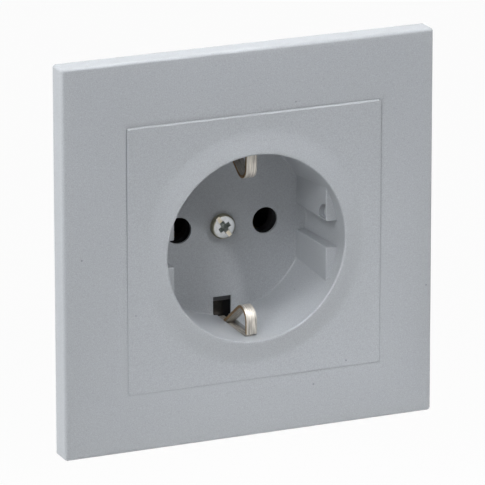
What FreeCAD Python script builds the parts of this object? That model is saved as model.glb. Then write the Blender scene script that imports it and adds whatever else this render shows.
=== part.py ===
import FreeCAD, Part
import math
import os

# Flush wall socket for round two-pin plugs with side earth clips. Millimetres.
# +X is right and +Z is up as seen from the room, and the front faces -Y.
# The origin is the middle of the socket on the wall surface, so y is the depth into the wall.

# Cover frame
frame_width = 80.6
frame_edge_height = 4.8
frame_edge_round = 0.7
frame_corner_radius = 1.2
frame_swell = 0.33
frame_wall = 2.0
frame_skin = 1.9
frame_ledge_thickness = 2.1
frame_ledge_reach = 2.15
frame_lining = 1.8
frame_rib_thickness = 1.0
frame_rib_offset = 15.0
screw_pocket_width = 9.0
screw_pocket_reach = 34.5

# Centre plate
plate_width = 55.0
plate_height = 6.8
plate_skin = 2.0
plate_skirt = 1.5
plate_corner_radius = 0.8
plate_edge_round = 0.4
plate_gap = 0.15
plate_proud = 0.18
plate_rib_thickness = 1.0
plate_rib_offset = 12.0
plate_rib_drop = 1.3

# Plug well
well_mouth_radius = 19.3
well_taper = 0.6
well_depth = 17.5
well_wall = 1.4
well_floor_thickness = 2.0
collar_rise = 1.0
collar_margin = 2.7
collar_lip = 0.3
collar_level = 0.8
collar_steps = 3
lug_depth = 2.8
lug_drop = 3.2
lug_groove = 5.5
lug_dimple_radius = 3.2
lug_dimple_depth = 0.9
lug_dimple_lip = 0.35
pin_spacing = 19.0
pin_hole_radius = 2.75
screw_hole_radius = 1.7
slot_width = 4.0
slot_height = 3.8
slot_length = 13.3

# Centre screw and its bush
screw_head_radius = 2.58
screw_head_height = 1.4
screw_shank_radius = 1.45
screw_length = 7.5
screw_slot_width = 0.9
screw_slot_depth = 0.7
screw_slot_angle = 35.0
screw_cross_width = 0.75
screw_cross_length = 2.6
screw_cross_depth = 1.0
nut_radius = 3.0
nut_height = 3.0
nut_bore_radius = 1.5

# Earth bracket
strip_thickness = 0.8
strip_width = 2.4
bridge_width = 4.0
bridge_pad = 10.0
bridge_floor_gap = 0.2
arm_clearance = 1.1
arm_front = 12.8
bow_root_inset = 1.6
bow_corner_rise = 7.35
bow_corner_depth = 4.55
bow_arc_radius = 2.5
bow_arc_steps = 7
bow_foot_rise = 1.1
bow_foot_depth = 2.65

# Support ring
ring_side_gap = 2.8
ring_thickness = 1.2
ring_corner = 9.0
device_screw_spacing = 60.0
device_screw_radius = 2.15
rivet_radius = 1.1
rivet_head_radius = 2.0
rivet_head_height = 0.8
rivet_length = 7.0
rivet_clearance = 0.04

# Insert body
base_wall = 5.1
base_flat_cut = 2.5
base_collar_depth = 2.5
base_cup_clearance = 0.7
deck_thickness = 2.0
base_room = 16.3
cover_thickness = 2.0
pin_way_radius = 3.1
cover_screw_inset = 3.5
cover_screw_z = -8.0
cover_screw_radius = 1.25
cover_screw_length = 9.0
cover_screw_head_radius = 2.3
cover_screw_head_height = 1.3
cover_screw_clearance = 0.05

# Pin contacts
contact_thickness = 0.8
contact_width = 6.0
contact_gap = 5.8
contact_flare = 0.6
contact_length = 12.1
contact_room_x = 9.0
contact_room_z = 4.6
contact_front_gap = 0.4

# Terminals, in the terminal's own width and its distance from the socket's middle
pole_offset = 11.0
chamber_width = 13.2
chamber_inner = 9.6
chamber_outer = 18.0
busbar_width = 12.0
busbar_inset = 2.3
spring_thickness = 0.4
spring_width = 4.2
spring_offset = 3.4
spring_length = 9.4
spring_inset = 2.9
spring_leg = 7.4
spring_tip_rise = 0.7
lever_bar_width = 11.2
lever_bar_inner = 13.2
lever_bar_height = 2.0
lever_inset = 9.3
lever_bar_depth = 2.2
lever_stem_width = 2.0
lever_reach = 1.6
lever_clearance = 0.2
lever_stop_gap = 0.2
sleeve_wall = 0.8
entry_width = 2.8
entry_height = 2.8
entry_offset = 3.5
entry_funnel = 0.5
earth_feed_width = 4.0
fit_gap = 0.1

# Values that follow from the sizes above
half_frame = frame_width / 2
half_ring = half_frame - frame_wall - ring_side_gap
half_plate = plate_width / 2
half_opening = half_plate + plate_gap
rim_height = plate_height + collar_rise
frame_face = plate_height - plate_proud
well_floor_radius = well_mouth_radius - well_taper
collar_radius = half_plate - collar_margin
lug_chord = well_mouth_radius - lug_depth
slot_inner = well_floor_radius - slot_height
base_cup_radius = well_mouth_radius + well_wall + base_cup_clearance
ring_hole_radius = base_cup_radius
base_radius = base_cup_radius + base_wall
base_flat = base_radius - base_flat_cut
rivet_x = base_cup_radius + base_wall / 2
arm_outer = base_cup_radius - arm_clearance
bow_corner_height = arm_outer - bow_corner_rise
bow_foot_height = arm_outer - bow_foot_rise
cover_screw_x = base_flat - cover_screw_inset
floor_y = well_depth - rim_height
floor_back_y = floor_y + well_floor_thickness
ledge_front = ring_thickness + frame_ledge_thickness
half_ledge = half_opening - frame_ledge_reach
lining_out = half_opening + frame_lining
slot_front_y = floor_y - slot_length
bridge_y = floor_back_y + bridge_floor_gap
deck_y = bridge_y + strip_thickness
deck_back_y = deck_y + deck_thickness
base_depth = deck_back_y + base_room
contact_back = deck_back_y + contact_length
busbar_front = deck_back_y + busbar_inset
spring_bend = deck_back_y + spring_inset
spring_back = spring_bend + spring_length
spring_tip_depth = spring_bend + spring_leg
lever_bar_front = deck_back_y + lever_inset
rear_y = base_depth + cover_thickness
half_pins = pin_spacing / 2
big = 200.0


def vec(x, y, z):
    return FreeCAD.Vector(x, y, z)


def box(x0, x1, y0, y1, z0, z1):
    xa, xb = min(x0, x1), max(x0, x1)
    ya, yb = min(y0, y1), max(y0, y1)
    za, zb = min(z0, z1), max(z0, z1)
    return Part.makeBox(xb - xa, yb - ya, zb - za, vec(xa, ya, za))


def block(half, y0, y1):
    return box(-half, half, y0, y1, -half, half)


def rod(radius, y0, y1, x=0.0, z=0.0):
    return Part.makeCylinder(radius, y1 - y0, vec(x, y0, z), vec(0, 1, 0))


def cone(r0, r1, y0, y1):
    return Part.makeCone(r0, r1, y1 - y0, vec(0, y0, 0), vec(0, 1, 0))


def fuse(shapes):
    shape = shapes[0]
    for other in shapes[1:]:
        shape = shape.fuse(other)
    return shape.removeSplitter()


def cut(shape, tools):
    for tool in tools:
        shape = shape.cut(tool)
    return shape.removeSplitter()


def mirror_x(shape):
    return shape.mirror(vec(0, 0, 0), vec(1, 0, 0))


def mirror_z(shape):
    return shape.mirror(vec(0, 0, 0), vec(0, 0, 1))


def rounded_prism(half, corner, y0, y1):
    prism = block(half, y0, y1)
    upright = [edge for edge in prism.Edges if abs(edge.tangentAt(edge.FirstParameter).y) > 0.9]
    return prism.makeFillet(corner, upright)


def polygon_prism(points, direction):
    wire = Part.makePolygon(points + [points[0]])
    return Part.Face(wire).extrude(direction)


def edges_prism(edges, direction):
    return Part.Face(Part.Wire(edges)).extrude(direction)


def both_ways(profile_edges):
    # A profile across X and the same profile across Z, kept where both have material.
    along_z = edges_prism(profile_edges, vec(0, 0, big))
    along_z.translate(vec(0, 0, -big / 2))
    along_x = along_z.copy()
    along_x.rotate(vec(0, 0, 0), vec(0, 1, 0), 90)
    return along_z.common(along_x)


def dome_profile(half, top, edge_top, edge_round, swell, flat_half, bottom):
    # Flat middle, a swelling slope down to the edge, a rounded edge, then the straight side.
    slope_end = half - edge_round
    side_top = edge_top - edge_round
    middle_x = (flat_half + slope_end) / 2
    middle_y = -((top + edge_top) / 2 + swell)
    turn = edge_round * (1 - math.sqrt(0.5))
    slope_out = Part.makeLine(vec(flat_half, -top, 0), vec(slope_end, -edge_top, 0))
    slope_in = Part.makeLine(vec(-slope_end, -edge_top, 0), vec(-flat_half, -top, 0))
    if swell > 0:
        slope_out = Part.Arc(
            vec(flat_half, -top, 0),
            vec(middle_x, middle_y, 0),
            vec(slope_end, -edge_top, 0),
        ).toShape()
        slope_in = Part.Arc(
            vec(-slope_end, -edge_top, 0),
            vec(-middle_x, middle_y, 0),
            vec(-flat_half, -top, 0),
        ).toShape()
    edges = [Part.makeLine(vec(-flat_half, -top, 0), vec(flat_half, -top, 0))]
    edges.append(slope_out)
    edges.append(
        Part.Arc(
            vec(slope_end, -edge_top, 0),
            vec(half - turn, -(edge_top - turn), 0),
            vec(half, -side_top, 0),
        ).toShape()
    )
    edges.append(Part.makeLine(vec(half, -side_top, 0), vec(half, -bottom, 0)))
    edges.append(Part.makeLine(vec(half, -bottom, 0), vec(-half, -bottom, 0)))
    edges.append(Part.makeLine(vec(-half, -bottom, 0), vec(-half, -side_top, 0)))
    edges.append(
        Part.Arc(
            vec(-half, -side_top, 0),
            vec(-half + turn, -(edge_top - turn), 0),
            vec(-slope_end, -edge_top, 0),
        ).toShape()
    )
    edges.append(slope_in)
    return edges


def strip(points, thickness, x0, x1):
    # A bent strip: the points are its middle line in (y, z), and it runs from x0 to x1.
    count = len(points)
    sides = ([], [])
    for i in range(count):
        before = points[max(i - 1, 0)]
        here = points[i]
        after = points[min(i + 1, count - 1)]
        normals = []
        for start, end in ((before, here), (here, after)):
            length = math.hypot(end[0] - start[0], end[1] - start[1])
            if length > 1e-9:
                normals.append(((start[1] - end[1]) / length, (end[0] - start[0]) / length))
        ny = sum(n[0] for n in normals)
        nz = sum(n[1] for n in normals)
        norm = math.hypot(ny, nz)
        ny, nz = ny / norm, nz / norm
        stretch = thickness / 2 / max(ny * normals[0][0] + nz * normals[0][1], 0.3)
        sides[0].append(vec(x0, here[0] + ny * stretch, here[1] + nz * stretch))
        sides[1].append(vec(x0, here[0] - ny * stretch, here[1] - nz * stretch))
    return polygon_prism(sides[0] + sides[1][::-1], vec(x1 - x0, 0, 0))


def arc_between(before, corner, after, radius, steps):
    # The points of an arc that rounds the corner between two straight runs, in (y, z).
    back = math.atan2(before[1] - corner[1], before[0] - corner[0])
    onward = math.atan2(after[1] - corner[1], after[0] - corner[0])
    opening = (onward - back + math.pi) % (2 * math.pi) - math.pi
    reach = radius / math.sin(abs(opening) / 2)
    middle_y = corner[0] + reach * math.cos(back + opening / 2)
    middle_z = corner[1] + reach * math.sin(back + opening / 2)
    turn = math.copysign(math.pi - abs(opening), -opening)
    first = back - math.copysign(math.pi / 2, opening)
    points = []
    for i in range(steps + 1):
        angle = first + turn * i / steps
        points.append((middle_y + radius * math.cos(angle), middle_z + radius * math.sin(angle)))
    return points


def revolve(points):
    # Points are (radius, y); the shape turns about the y axis.
    outline = Part.makePolygon([vec(r, y, 0) for r, y in points + [points[0]]])
    return Part.Face(outline).revolve(vec(0, 0, 0), vec(0, 1, 0), 360)


def make_cover_frame():
    body = both_ways(
        dome_profile(
            half_frame, frame_face, frame_edge_height, frame_edge_round, frame_swell, half_opening, 0.0
        )
    )
    body = body.common(rounded_prism(half_frame, frame_corner_radius, -plate_height - 1, 0))
    inner_half = half_frame - frame_wall
    hollow = both_ways(
        dome_profile(
            inner_half,
            frame_face - frame_skin,
            frame_edge_height - frame_skin,
            frame_edge_round,
            frame_swell,
            half_opening,
            -1.0,
        )
    )
    hollow = hollow.cut(block(lining_out, -plate_height - 1, 2))
    rib_foot = ring_thickness + fit_gap
    for side in (-1, 1):
        place = side * frame_rib_offset
        low = place - frame_rib_thickness / 2
        high = place + frame_rib_thickness / 2
        hollow = hollow.cut(box(-big, big, -rib_foot, -plate_height, low, high))
        hollow = hollow.cut(box(low, high, -rib_foot, -plate_height, -big, big))
    pocket_top = -ledge_front + fit_gap
    tools = [hollow]
    tools.append(block(half_opening, -ledge_front, -plate_height - 1))
    tools.append(block(half_ledge, -plate_height - 1, 1))
    tools.append(block(lining_out + 0.01, -ring_thickness, 1))
    half_pocket = screw_pocket_width / 2
    tools.append(
        box(-screw_pocket_reach, screw_pocket_reach, pocket_top, 1, -half_pocket, half_pocket)
    )
    tools.append(
        box(-half_pocket, half_pocket, pocket_top, 1, -screw_pocket_reach, screw_pocket_reach)
    )
    return cut(body, tools)


def make_centre_plate():
    face = both_ways(
        dome_profile(
            half_plate,
            plate_height,
            plate_height,
            plate_edge_round,
            0.0,
            half_plate / 2,
            ledge_front,
        )
    )
    face = face.common(
        rounded_prism(half_plate, plate_corner_radius, -plate_height - 1, -ledge_front)
    )
    skin_back = -(plate_height - plate_skin)
    inside = block(half_plate - plate_skirt, skin_back, 0)
    rib_back = skin_back + plate_rib_drop
    for side in (-1, 1):
        low = side * plate_rib_offset - plate_rib_thickness / 2
        high = side * plate_rib_offset + plate_rib_thickness / 2
        inside = inside.cut(box(-big, big, skin_back, rib_back, low, high))
        inside = inside.cut(box(low, high, skin_back, rib_back, -big, big))
    face = face.cut(inside)
    # Collar: a soft step from the flat face that levels off and turns into the well at its lip.
    curve = [(well_mouth_radius - well_wall, skin_back), (collar_radius, skin_back)]
    curve.append((collar_radius, -plate_height))
    steps = collar_steps
    climb = collar_radius - well_mouth_radius - collar_lip - collar_level
    for i in range(1, steps + 1):
        share = i / steps
        step = share * share * (3 - 2 * share)
        curve.append((collar_radius - climb * share, -plate_height - collar_rise * step))
    curve.append((well_mouth_radius + collar_lip, -rim_height))
    curve.append((well_mouth_radius, -rim_height + collar_lip))
    curve.append((well_mouth_radius - well_wall, -rim_height + collar_lip))
    collar = revolve(curve)
    cup = cone(well_mouth_radius + well_wall, well_floor_radius + well_wall, skin_back, floor_back_y)
    plate = face.fuse(collar).fuse(cup)
    well = cone(well_mouth_radius, well_floor_radius, -rim_height, floor_y)
    well = well.fuse(rod(well_mouth_radius, -rim_height - 1, -rim_height))
    plate = plate.cut(well)
    # Side lugs: what is left of the well beyond the chord, with a guide groove through the middle.
    lug_front = -rim_height + lug_drop
    lug_round = cone(
        well_mouth_radius + well_wall / 2, well_floor_radius + well_wall / 2, lug_front, floor_y + 0.5
    )
    half_groove = lug_groove / 2
    for side in (-1, 1):
        lug = lug_round.common(box(side * lug_chord, side * big, -big, big, -big, big))
        lug = lug.cut(box(-big, big, -big, floor_y, -half_groove, half_groove))
        plate = plate.fuse(lug)
    # A quarter-round dimple in the inner face of the upper right lug, with a thin lip left around it.
    dimple_y = lug_front + lug_dimple_lip
    dimple_z = half_groove + lug_dimple_lip
    dimple = Part.makeCylinder(
        lug_dimple_radius, lug_dimple_depth, vec(lug_chord, dimple_y, dimple_z), vec(1, 0, 0)
    )
    tools = [dimple.common(box(0, big, dimple_y, big, dimple_z, big))]
    half_slot = slot_width / 2
    for side in (-1, 1):
        tools.append(
            box(-half_slot, half_slot, slot_front_y, floor_back_y + 1, side * slot_inner, side * big)
        )
        tools.append(rod(pin_hole_radius, floor_y - 0.5, floor_back_y + 0.5, side * half_pins))
    tools.append(rod(screw_hole_radius, floor_y - 0.5, floor_back_y + 0.5))
    return cut(plate, tools)


def make_centre_screw():
    head_front = floor_y - screw_head_height
    profile = [(0, floor_y), (screw_head_radius, floor_y)]
    profile.append((screw_head_radius, floor_y - screw_head_height * 0.5))
    profile.append((screw_head_radius * 0.8, floor_y - screw_head_height * 0.85))
    profile.append((screw_head_radius * 0.4, head_front))
    profile.append((0, head_front))
    shank_end = floor_y + screw_length
    screw = revolve(profile).fuse(rod(screw_shank_radius, floor_y, shank_end - 0.6))
    tip = cone(screw_shank_radius, screw_shank_radius - 0.5, shank_end - 0.6, shank_end)
    screw = screw.fuse(tip)
    half_slot = screw_slot_width / 2
    slot = box(-big, big, head_front - 1, head_front + screw_slot_depth, -half_slot, half_slot)
    half_width = screw_cross_width / 2
    half_length = screw_cross_length / 2
    cross_end = head_front + screw_cross_depth
    cross = box(-half_length, half_length, head_front - 1, cross_end, -half_width, half_width)
    other = box(-half_width, half_width, head_front - 1, cross_end, -half_length, half_length)
    recess = slot.fuse(cross).fuse(other)
    recess.rotate(vec(0, 0, 0), vec(0, 1, 0), 90 - screw_slot_angle)
    return cut(screw, [recess])


def make_bracket_nut():
    return cut(
        rod(nut_radius, deck_y, deck_y + nut_height),
        [rod(nut_bore_radius, deck_y - 1, deck_y + nut_height + 1)],
    )


def clip_arm():
    # One side of the bracket: the arm along the slot and the bow that presses on the plug.
    half = strip_width / 2
    arm_middle = arm_outer - strip_thickness / 2
    arm_end = floor_y - arm_front
    bridge_middle = bridge_y + strip_thickness / 2
    arm = strip(
        [
            (bridge_middle, 0.0),
            (bridge_middle, arm_middle - 0.9),
            (bridge_middle - 0.3, arm_middle - 0.3),
            (bridge_middle - 0.9, arm_middle),
            (arm_end, arm_middle),
        ],
        strip_thickness,
        -half,
        half,
    )
    root = (floor_y - bow_root_inset, arm_middle - strip_thickness / 4)
    corner = (-rim_height + bow_corner_depth, bow_corner_height)
    foot = (-rim_height + bow_foot_depth, bow_foot_height - strip_thickness / 2)
    path = [(root[0] + strip_thickness, arm_middle), root]
    path += arc_between(root, corner, foot, bow_arc_radius, bow_arc_steps)
    path.append(foot)
    return arm.fuse(strip(path, strip_thickness, -half, half))


def make_earth_bracket():
    upper = clip_arm()
    half_bridge = bridge_width / 2
    half_pad = bridge_pad / 2
    bridge_end = slot_inner + 3.0
    bridge = box(-half_bridge, half_bridge, bridge_y, deck_y, -bridge_end, bridge_end)
    pad = rounded_prism(half_pad, 1.5, bridge_y, deck_y)
    bracket = fuse([bridge, pad, upper, mirror_z(upper)])
    return cut(bracket, [rod(screw_hole_radius, bridge_y - 1, deck_y + 1)])


def make_support_ring():
    half = half_ring
    plate = block(half, -ring_thickness, 0)
    for side_x in (-1, 1):
        for side_z in (-1, 1):
            corner = polygon_prism(
                [
                    vec(side_x * half, -ring_thickness - 1, side_z * half),
                    vec(side_x * (half - ring_corner), -ring_thickness - 1, side_z * half),
                    vec(side_x * half, -ring_thickness - 1, side_z * (half - ring_corner)),
                ],
                vec(0, ring_thickness + 2, 0),
            )
            plate = plate.cut(corner)
    tools = [rod(ring_hole_radius, -ring_thickness - 1, 1)]
    half_spacing = device_screw_spacing / 2
    for x, z in ((half_spacing, 0), (-half_spacing, 0), (0, half_spacing), (0, -half_spacing)):
        tools.append(rod(device_screw_radius, -ring_thickness - 1, 1, x, z))
    for side in (-1, 1):
        tools.append(rod(rivet_radius + rivet_clearance, -ring_thickness - 1, 1, side * rivet_x))
    return cut(plate, tools)


def make_ring_rivets():
    rivets = []
    head_y = -ring_thickness - rivet_head_height
    for side in (-1, 1):
        head = rod(rivet_head_radius, head_y, -ring_thickness, side * rivet_x)
        rivets.append(head.fuse(rod(rivet_radius, -ring_thickness, rivet_length, side * rivet_x)))
    return Part.makeCompound([rivet.removeSplitter() for rivet in rivets])


# The three terminals: middle across X, and +1 above or -1 below the socket's middle.
poles = {"live": (-pole_offset, 1), "neutral": (pole_offset, 1), "earth": (0.0, -1)}


def pole_box(pole, u0, u1, y0, y1, w0, w1):
    middle, side = poles[pole]
    return box(middle + u0, middle + u1, y0, y1, side * w0, side * w1)


def body_outline(y0, y1):
    return rod(base_radius, y0, y1).common(block(base_flat, y0, y1))


def make_socket_base():
    body = rod(base_radius, 0, base_collar_depth).fuse(body_outline(base_collar_depth, base_depth))
    tools = [rod(base_cup_radius, -1, deck_y)]
    half_chamber = chamber_width / 2
    for pole in poles:
        tools.append(
            pole_box(
                pole,
                -half_chamber,
                half_chamber,
                deck_back_y,
                base_depth + 1,
                chamber_inner,
                chamber_outer,
            )
        )
    half_room = contact_room_x / 2
    for side in (-1, 1):
        middle = side * half_pins
        tools.append(rod(pin_way_radius, deck_y - 1, deck_back_y + 1, middle))
        tools.append(
            box(
                middle - half_room,
                middle + half_room,
                deck_back_y,
                base_depth + 1,
                -contact_room_z,
                chamber_inner + 0.01,
            )
        )
        x = side * cover_screw_x
        hole = cover_screw_radius + cover_screw_clearance
        bottom = base_depth - cover_screw_length + cover_thickness - 0.5
        tools.append(rod(hole, bottom, base_depth + 1, x, cover_screw_z))
    for side in (-1, 1):
        tools.append(
            rod(rivet_radius + rivet_clearance, -1, rivet_length + 0.5, side * rivet_x)
        )
    tools.append(rod(nut_radius + fit_gap, deck_y - 1, deck_y + nut_height))
    tools.append(rod(screw_shank_radius + 0.4, deck_y, floor_y + screw_length + 1))
    half_feed = earth_feed_width / 2 + fit_gap
    tools.append(
        pole_box(
            "earth",
            -half_feed,
            half_feed,
            deck_y - 1,
            deck_back_y + 1,
            chamber_inner,
            chamber_inner + contact_thickness + fit_gap,
        )
    )
    return cut(body, tools)


def make_rear_cover():
    cover = body_outline(base_depth, rear_y)
    half_stem = lever_stem_width / 2 + lever_clearance
    hole_in = lever_bar_inner - lever_clearance
    hole_out = lever_bar_inner + lever_bar_height + lever_clearance
    stop_y = lever_bar_front + lever_bar_depth + lever_stop_gap
    tools = []
    for pole in poles:
        sleeve = pole_box(
            pole,
            -half_stem - sleeve_wall,
            half_stem + sleeve_wall,
            stop_y,
            base_depth,
            hole_in - sleeve_wall,
            hole_out + sleeve_wall,
        )
        cover = cover.fuse(sleeve)
        tools.append(pole_box(pole, -half_stem, half_stem, 0, rear_y + 1, hole_in, hole_out))
        low = chamber_inner + contact_thickness + fit_gap
        for side in (-1, 1):
            middle = side * entry_offset
            half_entry = entry_width / 2
            tools.append(
                pole_box(
                    pole,
                    middle - half_entry,
                    middle + half_entry,
                    base_depth - 1,
                    rear_y + 1,
                    low,
                    low + entry_height,
                )
            )
            tools.append(
                pole_box(
                    pole,
                    middle - half_entry - entry_funnel,
                    middle + half_entry + entry_funnel,
                    rear_y - entry_funnel,
                    rear_y + 1,
                    low - entry_funnel,
                    low + entry_height + entry_funnel,
                )
            )
    rib = contact_width / 4
    for side in (-1, 1):
        middle = side * half_pins
        cover = cover.fuse(box(middle - rib, middle + rib, contact_back, base_depth, -rib, rib))
        hole = cover_screw_radius + cover_screw_clearance
        tools.append(rod(hole, base_depth - 1, rear_y + 1, side * cover_screw_x, cover_screw_z))
    return cut(cover, tools)


def make_cover_screws():
    screws = []
    for side in (-1, 1):
        x = side * cover_screw_x
        start = rear_y - cover_screw_length
        head_end = rear_y + cover_screw_head_height
        shank = rod(cover_screw_radius, start, rear_y, x, cover_screw_z)
        head = rod(cover_screw_head_radius, rear_y, head_end, x, cover_screw_z)
        slot = box(
            x - big,
            x + big,
            head_end - 0.6,
            head_end + 1,
            cover_screw_z - 0.35,
            cover_screw_z + 0.35,
        )
        screws.append(cut(shank.fuse(head), [slot]))
    return Part.makeCompound(screws)


def make_busbar(pole):
    half = busbar_width / 2
    return pole_box(
        pole,
        -half,
        half,
        busbar_front,
        contact_back,
        chamber_inner,
        chamber_inner + contact_thickness,
    )


def make_pin_contact(pole):
    side = 1 if poles[pole][0] > 0 else -1
    middle = side * half_pins
    half = contact_width / 2
    inner = contact_gap / 2 + contact_thickness / 2
    front = deck_back_y + contact_front_gap
    web_middle = contact_back - contact_thickness / 2
    finger = strip(
        [
            (front, inner + contact_flare),
            (front + 1.5, inner),
            (web_middle - 1.2, inner),
            (web_middle - 0.4, inner - 0.3),
            (web_middle, inner - 0.9),
            (web_middle, 0.0),
        ],
        contact_thickness,
        middle - half,
        middle + half,
    )
    riser = box(
        middle - half,
        middle + half,
        contact_back - contact_thickness,
        contact_back,
        0,
        chamber_inner + contact_thickness,
    )
    return fuse([finger, mirror_z(finger), riser, make_busbar(pole)])


def make_earth_busbar():
    half = earth_feed_width / 2
    feed = pole_box(
        "earth",
        -half,
        half,
        deck_y,
        busbar_front + 1,
        chamber_inner,
        chamber_inner + contact_thickness,
    )
    return fuse([feed, make_busbar("earth")])


def make_spring(pole, place):
    middle, side = poles[pole]
    top = chamber_outer - spring_thickness / 2
    tip_w = chamber_inner + contact_thickness + spring_tip_rise
    leaf = strip(
        [
            (spring_back, top),
            (spring_bend + 0.9, top),
            (spring_bend + 0.25, top - 0.3),
            (spring_bend, top - 0.9),
            (spring_bend + 0.25, top - 1.5),
            (spring_tip_depth, tip_w),
        ],
        spring_thickness,
        middle + place - spring_width / 2,
        middle + place + spring_width / 2,
    )
    if side < 0:
        leaf = mirror_z(leaf)
    return leaf


def make_lever(pole):
    half_bar = lever_bar_width / 2
    half_stem = lever_stem_width / 2
    outer = lever_bar_inner + lever_bar_height
    bar_back = lever_bar_front + lever_bar_depth
    bar = pole_box(pole, -half_bar, half_bar, lever_bar_front, bar_back, lever_bar_inner, outer)
    stem_end = rear_y + lever_reach
    stem = pole_box(pole, -half_stem, half_stem, bar_back, stem_end, lever_bar_inner, outer)
    return fuse([bar, stem])


pieces = {
    "cover_frame": make_cover_frame(),
    "centre_plate": make_centre_plate(),
    "centre_screw": make_centre_screw(),
    "bracket_nut": make_bracket_nut(),
    "earth_bracket": make_earth_bracket(),
    "support_ring": make_support_ring(),
    "ring_rivets": make_ring_rivets(),
    "socket_base": make_socket_base(),
    "rear_cover": make_rear_cover(),
    "cover_screws": make_cover_screws(),
    "live_contact": make_pin_contact("live"),
    "neutral_contact": make_pin_contact("neutral"),
    "earth_busbar": make_earth_busbar(),
}
for pole_name in poles:
    pieces[pole_name + "_spring_a"] = make_spring(pole_name, -spring_offset)
    pieces[pole_name + "_spring_b"] = make_spring(pole_name, spring_offset)
    pieces[pole_name + "_lever"] = make_lever(pole_name)

os.makedirs("parts", exist_ok=True)
for node, shape in pieces.items():
    solids = shape.Solids
    shape = solids[0] if len(solids) == 1 else Part.makeCompound(solids)
    shape.exportStep("parts/" + node + ".step")
    print(node, len(solids), shape.isValid(), round(shape.Volume, 1), shape.BoundBox)
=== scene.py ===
# %% [markdown]
# A flush wall socket, dressed around its CAD solids.
# The solids are at real size, and each new piece below is modelled as by hand in Blender,
# in the same frame: +X right, +Z up, the front faces -Y, and y = 0 is the wall surface.
# Blender counts in metres, but a maker thinks in millimetres, so sizes are written in
# millimetres and multiplied by MM where they meet Blender.

# %% Load the frame
import bmesh
import bpy
import math
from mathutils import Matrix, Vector


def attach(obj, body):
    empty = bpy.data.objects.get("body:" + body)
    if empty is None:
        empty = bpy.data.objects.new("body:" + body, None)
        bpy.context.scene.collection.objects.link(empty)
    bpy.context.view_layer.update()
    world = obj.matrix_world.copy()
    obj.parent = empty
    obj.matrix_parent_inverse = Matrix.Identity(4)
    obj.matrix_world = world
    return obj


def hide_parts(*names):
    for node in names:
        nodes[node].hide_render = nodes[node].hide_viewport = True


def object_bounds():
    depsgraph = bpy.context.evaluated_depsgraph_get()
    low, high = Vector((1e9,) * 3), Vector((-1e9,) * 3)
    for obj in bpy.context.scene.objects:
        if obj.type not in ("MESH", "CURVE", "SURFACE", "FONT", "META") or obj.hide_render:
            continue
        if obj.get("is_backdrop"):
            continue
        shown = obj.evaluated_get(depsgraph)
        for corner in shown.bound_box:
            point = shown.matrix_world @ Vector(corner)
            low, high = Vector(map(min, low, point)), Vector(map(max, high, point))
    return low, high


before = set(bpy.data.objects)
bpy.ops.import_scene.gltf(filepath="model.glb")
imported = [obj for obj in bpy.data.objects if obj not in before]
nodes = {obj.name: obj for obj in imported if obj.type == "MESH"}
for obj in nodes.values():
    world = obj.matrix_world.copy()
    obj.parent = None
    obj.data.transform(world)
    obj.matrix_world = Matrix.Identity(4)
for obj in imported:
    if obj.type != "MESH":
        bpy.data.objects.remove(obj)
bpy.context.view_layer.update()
MM = 0.001

# %% [markdown]
# Modelling by hand means: make one object active, go into edit mode, select, call a tool.
# A tool acts on all that is selected, so everything is let go first. Without a mouse, corners,
# edges and faces are picked by a test of their place or direction.

# %% Take hold of a piece and pick parts of its mesh
def let_go():
    if bpy.context.object and bpy.context.object.mode != "OBJECT":
        bpy.ops.object.mode_set(mode="OBJECT")
    bpy.ops.object.select_all(action="DESELECT")


def work_on(piece):
    let_go()
    piece.select_set(True)
    bpy.context.view_layer.objects.active = piece


def open_mesh(piece):
    work_on(piece)
    bpy.ops.object.mode_set(mode="EDIT")


def close_mesh():
    bpy.ops.object.mode_set(mode="OBJECT")


def pick(kind, test):
    bpy.ops.mesh.select_mode(type=kind)
    bpy.ops.mesh.select_all(action="DESELECT")
    mesh = bmesh.from_edit_mesh(bpy.context.object.data)
    things = {"VERT": mesh.verts, "EDGE": mesh.edges, "FACE": mesh.faces}[kind]
    for thing in things:
        if test(thing):
            thing.select_set(True)
    mesh.select_flush_mode()
    bmesh.update_edit_mesh(bpy.context.object.data)


print("CAD nodes to dress:", len(nodes))

# %% [markdown]
# The tests need a few measures of a corner: how far out it lies, how deep, and whether that
# is near a wanted value. Corners move by rounding errors, so "equal" always has some slack, and
# "beyond" some margin. A face looks a certain way when its normal does so for the most part.

# %% Measure corners and faces
SLACK, MARGIN, FACING = 0.02, 0.1, 0.9


def out(vert):
    # How far a corner lies from the middle, measured square, in millimetres.
    return max(abs(vert.co.x), abs(vert.co.z)) / MM


def deep(vert):
    return vert.co.y / MM


def near(value, target, slack=SLACK):
    return abs(value - target) < slack


def on_diagonal(vert):
    return near(abs(vert.co.x), abs(vert.co.z), 1e-6)


def faces_now():
    return len(bmesh.from_edit_mesh(bpy.context.object.data).faces)


print("corners count as equal within", SLACK, "mm")

# %% [markdown]
# Most pieces start as a box. Its size and place are applied at once, so that the object
# itself stays at the origin and the mesh holds the place. Inset, push and bevel are the three
# tools that shape a moulding; Boolean modifiers add ribs and cut holes.

# %% Boxes, and the tools that shape them
def settle(piece):
    work_on(piece)
    bpy.ops.object.transform_apply(location=True, rotation=True, scale=True)


def new_box(name, low, high):
    let_go()
    middle = [(a + b) / 2 * MM for a, b in zip(low, high)]
    bpy.ops.mesh.primitive_cube_add(size=1, location=middle)
    piece = bpy.context.object
    piece.name = name
    piece.scale = [(b - a) * MM for a, b in zip(low, high)]
    settle(piece)
    return piece


def inset(width, rise=0.0):
    bpy.ops.mesh.inset(thickness=width * MM, depth=rise * MM)


def push(depth):
    bpy.ops.mesh.extrude_region_move(TRANSFORM_OT_translate={"value": (0, depth * MM, 0)})


def bevel(width, segments):
    bpy.ops.mesh.bevel(offset=width * MM, segments=segments, profile=0.5, affect="EDGES")


def face_outwards():
    bpy.ops.mesh.select_all(action="SELECT")
    bpy.ops.mesh.normals_make_consistent(inside=False)


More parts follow.
